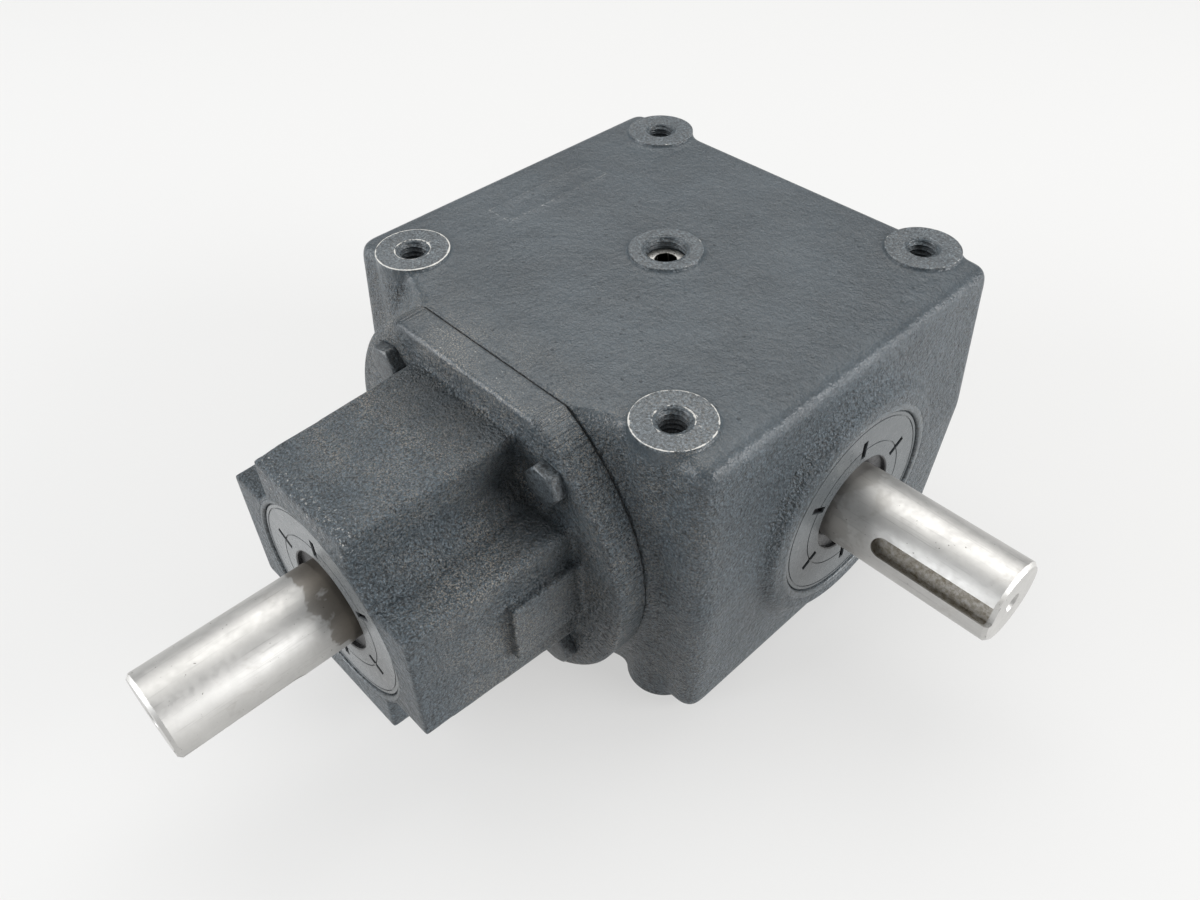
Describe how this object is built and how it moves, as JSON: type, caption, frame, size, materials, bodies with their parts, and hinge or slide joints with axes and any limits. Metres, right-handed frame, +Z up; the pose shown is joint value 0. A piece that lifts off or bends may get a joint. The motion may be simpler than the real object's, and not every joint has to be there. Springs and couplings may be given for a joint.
{
  "type": "right angle bevel gearbox",
  "caption": "Compact cast right angle bevel gearbox with crossing keyed input and output shafts, a flanged input hub and tapped mounting pads top and bottom.",
  "frame": {"origin": "centre of the four base pads, on the plane of their faces", "axes": "+X along the output shaft, -Y along the input shaft outwards, +Z up"},
  "size_m": [0.2078, 0.2472, 0.1048],
  "materials": {
    "case_paint": "cast iron under matt dark blue-grey paint, rough as cast",
    "cover_paint": "pressed cover and seal faces, painted over",
    "bolt_paint": "hex heads painted with the case",
    "plug_steel": "bright plated plug",
    "shaft_steel": "ground bright steel",
    "gear_steel": "hardened gear steel, oiled",
    "bearing_steel": "polished bearing steel",
    "cage_steel": "pressed cage",
    "spring_steel": "phosphated spring steel",
    "turned_steel": "turned steel",
    "gasket": null
  },
  "bodies": {
    "case": {"housing": "case_paint", "input_hub": "case_paint", "hub_gasket": "gasket", "hub_bolts": "bolt_paint", "oil_plugs": "plug_steel", "rear_closing_cap": "cover_paint", "output_seal": "cover_paint", "output_seal_spring": "spring_steel", "input_seal": "cover_paint", "input_seal_spring": "spring_steel", "output_front_bore_ring": "spring_steel", "output_rear_bore_ring": "spring_steel", "hub_bore_ring": "spring_steel", "output_front_shim": "turned_steel", "output_rear_shim": "turned_steel", "hub_shim": "turned_steel", "hub_spacer_sleeve": "turned_steel", "output_front_bearing_outer_ring": "bearing_steel", "output_rear_bearing_outer_ring": "bearing_steel", "input_outboard_bearing_outer_ring": "bearing_steel", "input_inboard_bearing_outer_ring": "bearing_steel"},
    "output_line": {"output_shaft": "shaft_steel", "output_gear": "gear_steel", "output_gear_key": "turned_steel", "output_spacer": "turned_steel", "output_front_shaft_ring": "spring_steel", "output_rear_shaft_ring": "spring_steel", "output_front_bearing_inner_ring": "bearing_steel", "output_rear_bearing_inner_ring": "bearing_steel"},
    "input_line": {"input_shaft": "shaft_steel", "input_pinion": "gear_steel", "pinion_key": "turned_steel", "input_spacer": "turned_steel", "pinion_lock_washer": "spring_steel", "pinion_locknut": "turned_steel", "input_shaft_ring": "spring_steel", "input_outboard_bearing_inner_ring": "bearing_steel", "input_inboard_bearing_inner_ring": "bearing_steel"},
    "output_front_ball_set": {"output_front_bearing_cage": "cage_steel", "output_front_bearing_balls": "bearing_steel"},
    "output_rear_ball_set": {"output_rear_bearing_cage": "cage_steel", "output_rear_bearing_balls": "bearing_steel"},
    "input_outboard_ball_set": {"input_outboard_bearing_cage": "cage_steel", "input_outboard_bearing_balls": "bearing_steel"},
    "input_inboard_ball_set": {"input_inboard_bearing_cage": "cage_steel", "input_inboard_bearing_balls": "bearing_steel"}
  },
  "joints": [
    {"name": "output_spin", "type": "hinge", "parent": "case", "child": "output_line", "pos_m": [0, 0, 0.0524], "axis": [1, 0, 0], "continuous": true},
    {"name": "input_spin", "type": "hinge", "parent": "case", "child": "input_line", "pos_m": [0, 0, 0.0524], "axis": [0, 1, 0], "continuous": true},
    {"name": "output_front_balls_spin", "type": "hinge", "parent": "case", "child": "output_front_ball_set", "pos_m": [0, 0, 0.0524], "axis": [1, 0, 0], "continuous": true},
    {"name": "output_rear_balls_spin", "type": "hinge", "parent": "case", "child": "output_rear_ball_set", "pos_m": [0, 0, 0.0524], "axis": [1, 0, 0], "continuous": true},
    {"name": "input_outboard_balls_spin", "type": "hinge", "parent": "case", "child": "input_outboard_ball_set", "pos_m": [0, 0, 0.0524], "axis": [0, 1, 0], "continuous": true},
    {"name": "input_inboard_balls_spin", "type": "hinge", "parent": "case", "child": "input_inboard_ball_set", "pos_m": [0, 0, 0.0524], "axis": [0, 1, 0], "continuous": true}
  ],
  "couplings": [
    {"joint": "input_spin", "follows": "output_spin", "ratio": -1},
    {"joint": "output_front_balls_spin", "follows": "output_spin", "ratio": 0.3965},
    {"joint": "output_rear_balls_spin", "follows": "output_spin", "ratio": 0.3965},
    {"joint": "input_outboard_balls_spin", "follows": "output_spin", "ratio": -0.3965},
    {"joint": "input_inboard_balls_spin", "follows": "output_spin", "ratio": -0.3965}
  ]
}
